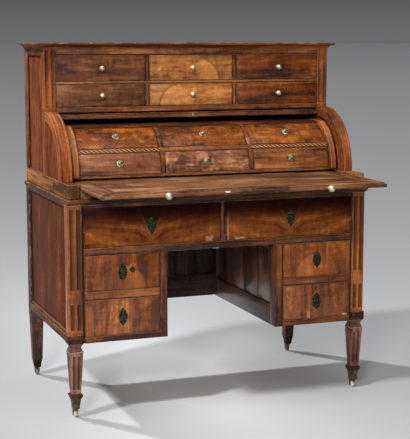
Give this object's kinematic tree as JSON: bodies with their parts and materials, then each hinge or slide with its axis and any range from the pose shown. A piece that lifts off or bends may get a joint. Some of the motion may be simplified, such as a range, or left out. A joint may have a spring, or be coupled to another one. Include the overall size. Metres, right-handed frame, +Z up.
{
  "type": "cylinder desk",
  "caption": "Walnut roll-back cylinder desk with a drawn-out writing slide, round-fronted inner drawers, a drawer case on top and pedestals on tapered legs.",
  "frame": {"origin": "on the floor, at the centre of the bounding box of the open desk: on its middle plane, midway between the tips of the slide's knobs and the back", "axes": "+Z up; +X to the sitter's right as they face the desk; +Y from the front to the back"},
  "size_m": [1.1, 0.879, 1.224],
  "materials": {
    "carcass_walnut": "satin french polish, worn",
    "panel_walnut": "satin french polish, worn",
    "moulding_walnut": "french polish",
    "interior_walnut": "french polish",
    "cylinder_walnut": "french polish",
    "slide_walnut": "glossy french polish",
    "drawer_walnut": "glossy french polish",
    "interior_drawer_walnut": "french polish",
    "frieze_walnut": "matched figured veneer, french polish",
    "pedestal_walnut": "figured veneer, french polish",
    "inside_wood": "bare oak, aged",
    "arm_steel": "dark brushed steel",
    "lock_brass": "brushed brass",
    "sabot_brass": "tarnished brass",
    "knob_brass": "polished pale brass",
    "castor_brass": "tarnished brass",
    "escutcheon_bronze": "dark patinated bronze",
    "castor_wheel": null
  },
  "bodies": {
    "carcass": {"corner_posts": "carcass_walnut", "sabots": "sabot_brass", "base_frame": "carcass_walnut", "frame_panels": "panel_walnut", "dust_boards": "inside_wood", "waist_plate": "moulding_walnut", "plinth": "moulding_walnut", "upper_frame": "carcass_walnut", "interior_case": "interior_walnut", "upper_case": "carcass_walnut", "cornice": "moulding_walnut"},
    "cylinder": {"cylinder_shell": "cylinder_walnut", "cylinder_arms": "arm_steel", "cylinder_lock": "lock_brass"},
    "writing_slide": {"writing_slide": "slide_walnut", "slide_knobs": "knob_brass"},
    "castor_front_left": {"castor_fork_front_left": "castor_brass"},
    "wheel_front_left": {"castor_wheel_front_left": "castor_wheel"},
    "castor_front_right": {"castor_fork_front_right": "castor_brass"},
    "wheel_front_right": {"castor_wheel_front_right": "castor_wheel"},
    "castor_rear_left": {"castor_fork_rear_left": "castor_brass"},
    "wheel_rear_left": {"castor_wheel_rear_left": "castor_wheel"},
    "castor_rear_right": {"castor_fork_rear_right": "castor_brass"},
    "wheel_rear_right": {"castor_wheel_rear_right": "castor_wheel"},
    "case_drawer_left_lower": {"case_drawer_left_lower": "drawer_walnut", "case_drawer_left_lower_knob": "knob_brass"},
    "case_drawer_left_upper": {"case_drawer_left_upper": "drawer_walnut", "case_drawer_left_upper_knob": "knob_brass"},
    "case_drawer_middle_lower": {"case_drawer_middle_lower": "drawer_walnut", "case_drawer_middle_lower_knob": "knob_brass"},
    "case_drawer_middle_upper": {"case_drawer_middle_upper": "drawer_walnut", "case_drawer_middle_upper_knob": "knob_brass"},
    "case_drawer_right_lower": {"case_drawer_right_lower": "drawer_walnut", "case_drawer_right_lower_knob": "knob_brass"},
    "case_drawer_right_upper": {"case_drawer_right_upper": "drawer_walnut", "case_drawer_right_upper_knob": "knob_brass"},
    "interior_drawer_left_lower": {"interior_drawer_left_lower": "interior_drawer_walnut", "interior_drawer_left_lower_knob": "knob_brass"},
    "interior_drawer_left_upper": {"interior_drawer_left_upper": "interior_drawer_walnut", "interior_drawer_left_upper_knob": "knob_brass"},
    "interior_drawer_middle_lower": {"interior_drawer_middle_lower": "interior_drawer_walnut", "interior_drawer_middle_lower_knob": "knob_brass"},
    "interior_drawer_middle_upper": {"interior_drawer_middle_upper": "interior_drawer_walnut", "interior_drawer_middle_upper_knob": "knob_brass"},
    "interior_drawer_right_lower": {"interior_drawer_right_lower": "interior_drawer_walnut", "interior_drawer_right_lower_knob": "knob_brass"},
    "interior_drawer_right_upper": {"interior_drawer_right_upper": "interior_drawer_walnut", "interior_drawer_right_upper_knob": "knob_brass"},
    "frieze_drawer_left": {"frieze_drawer_left": "frieze_walnut", "frieze_drawer_left_lock": "escutcheon_bronze"},
    "pedestal_drawer_left_lower": {"pedestal_drawer_left_lower": "pedestal_walnut", "pedestal_drawer_left_lower_lock": "escutcheon_bronze"},
    "pedestal_drawer_left_upper": {"pedestal_drawer_left_upper": "pedestal_walnut", "pedestal_drawer_left_upper_lock": "escutcheon_bronze"},
    "frieze_drawer_right": {"frieze_drawer_right": "frieze_walnut", "frieze_drawer_right_lock": "escutcheon_bronze"},
    "pedestal_drawer_right_lower": {"pedestal_drawer_right_lower": "pedestal_walnut", "pedestal_drawer_right_lower_lock": "escutcheon_bronze"},
    "pedestal_drawer_right_upper": {"pedestal_drawer_right_upper": "pedestal_walnut", "pedestal_drawer_right_upper_lock": "escutcheon_bronze"}
  },
  "joints": [
    {"name": "writing_slide_travel", "type": "slide", "parent": "carcass", "child": "writing_slide", "axis": [0, -1, 0], "range_m": [-0.242, 0]},
    {"name": "cylinder_pivot", "type": "hinge", "parent": "carcass", "child": "cylinder", "pos_m": [0, 0.1325, 0.782], "axis": [-1, 0, 0], "range_deg": [-90, 0]},
    {"name": "castor_swivel_front_left", "type": "hinge", "parent": "carcass", "child": "castor_front_left", "pos_m": [-0.51, -0.1475, 0.031], "axis": [0, 0, 1], "continuous": true},
    {"name": "castor_roll_front_left", "type": "hinge", "parent": "castor_front_left", "child": "wheel_front_left", "pos_m": [-0.51, -0.1415, 0.0115], "axis": [1, 0, 0], "continuous": true},
    {"name": "castor_swivel_front_right", "type": "hinge", "parent": "carcass", "child": "castor_front_right", "pos_m": [0.51, -0.1475, 0.031], "axis": [0, 0, 1], "continuous": true},
    {"name": "castor_roll_front_right", "type": "hinge", "parent": "castor_front_right", "child": "wheel_front_right", "pos_m": [0.51, -0.1415, 0.0115], "axis": [1, 0, 0], "continuous": true},
    {"name": "castor_swivel_rear_left", "type": "hinge", "parent": "carcass", "child": "castor_rear_left", "pos_m": [-0.51, 0.4165, 0.031], "axis": [0, 0, 1], "continuous": true},
    {"name": "castor_roll_rear_left", "type": "hinge", "parent": "castor_rear_left", "child": "wheel_rear_left", "pos_m": [-0.51, 0.4225, 0.0115], "axis": [1, 0, 0], "continuous": true},
    {"name": "castor_swivel_rear_right", "type": "hinge", "parent": "carcass", "child": "castor_rear_right", "pos_m": [0.51, 0.4165, 0.031], "axis": [0, 0, 1], "continuous": true},
    {"name": "castor_roll_rear_right", "type": "hinge", "parent": "castor_rear_right", "child": "wheel_rear_right", "pos_m": [0.51, 0.4225, 0.0115], "axis": [1, 0, 0], "continuous": true},
    {"name": "case_drawer_left_lower_travel", "type": "slide", "parent": "carcass", "child": "case_drawer_left_lower", "axis": [0, -1, 0], "range_m": [0, 0.22]},
    {"name": "case_drawer_left_upper_travel", "type": "slide", "parent": "carcass", "child": "case_drawer_left_upper", "axis": [0, -1, 0], "range_m": [0, 0.22]},
    {"name": "case_drawer_middle_lower_travel", "type": "slide", "parent": "carcass", "child": "case_drawer_middle_lower", "axis": [0, -1, 0], "range_m": [0, 0.22]},
    {"name": "case_drawer_middle_upper_travel", "type": "slide", "parent": "carcass", "child": "case_drawer_middle_upper", "axis": [0, -1, 0], "range_m": [0, 0.22]},
    {"name": "case_drawer_right_lower_travel", "type": "slide", "parent": "carcass", "child": "case_drawer_right_lower", "axis": [0, -1, 0], "range_m": [0, 0.22]},
    {"name": "case_drawer_right_upper_travel", "type": "slide", "parent": "carcass", "child": "case_drawer_right_upper", "axis": [0, -1, 0], "range_m": [0, 0.22]},
    {"name": "interior_drawer_left_lower_travel", "type": "slide", "parent": "carcass", "child": "interior_drawer_left_lower", "axis": [0, -1, 0], "range_m": [0, 0.2]},
    {"name": "interior_drawer_left_upper_travel", "type": "slide", "parent": "carcass", "child": "interior_drawer_left_upper", "axis": [0, -1, 0], "range_m": [0, 0.12]},
    {"name": "interior_drawer_middle_lower_travel", "type": "slide", "parent": "carcass", "child": "interior_drawer_middle_lower", "axis": [0, -1, 0], "range_m": [0, 0.2]},
    {"name": "interior_drawer_middle_upper_travel", "type": "slide", "parent": "carcass", "child": "interior_drawer_middle_upper", "axis": [0, -1, 0], "range_m": [0, 0.12]},
    {"name": "interior_drawer_right_lower_travel", "type": "slide", "parent": "carcass", "child": "interior_drawer_right_lower", "axis": [0, -1, 0], "range_m": [0, 0.2]},
    {"name": "interior_drawer_right_upper_travel", "type": "slide", "parent": "carcass", "child": "interior_drawer_right_upper", "axis": [0, -1, 0], "range_m": [0, 0.12]},
    {"name": "frieze_drawer_left_travel", "type": "slide", "parent": "carcass", "child": "frieze_drawer_left", "axis": [0, -1, 0], "range_m": [0, 0.35]},
    {"name": "pedestal_drawer_left_lower_travel", "type": "slide", "parent": "carcass", "child": "pedestal_drawer_left_lower", "axis": [0, -1, 0], "range_m": [0, 0.35]},
    {"name": "pedestal_drawer_left_upper_travel", "type": "slide", "parent": "carcass", "child": "pedestal_drawer_left_upper", "axis": [0, -1, 0], "range_m": [0, 0.35]},
    {"name": "frieze_drawer_right_travel", "type": "slide", "parent": "carcass", "child": "frieze_drawer_right", "axis": [0, -1, 0], "range_m": [0, 0.35]},
    {"name": "pedestal_drawer_right_lower_travel", "type": "slide", "parent": "carcass", "child": "pedestal_drawer_right_lower", "axis": [0, -1, 0], "range_m": [0, 0.35]},
    {"name": "pedestal_drawer_right_upper_travel", "type": "slide", "parent": "carcass", "child": "pedestal_drawer_right_upper", "axis": [0, -1, 0], "range_m": [0, 0.35]}
  ],
  "couplings": [
    {"joint": "cylinder_pivot", "follows": "writing_slide_travel", "rad_per_m": 6.4909}
  ]
}
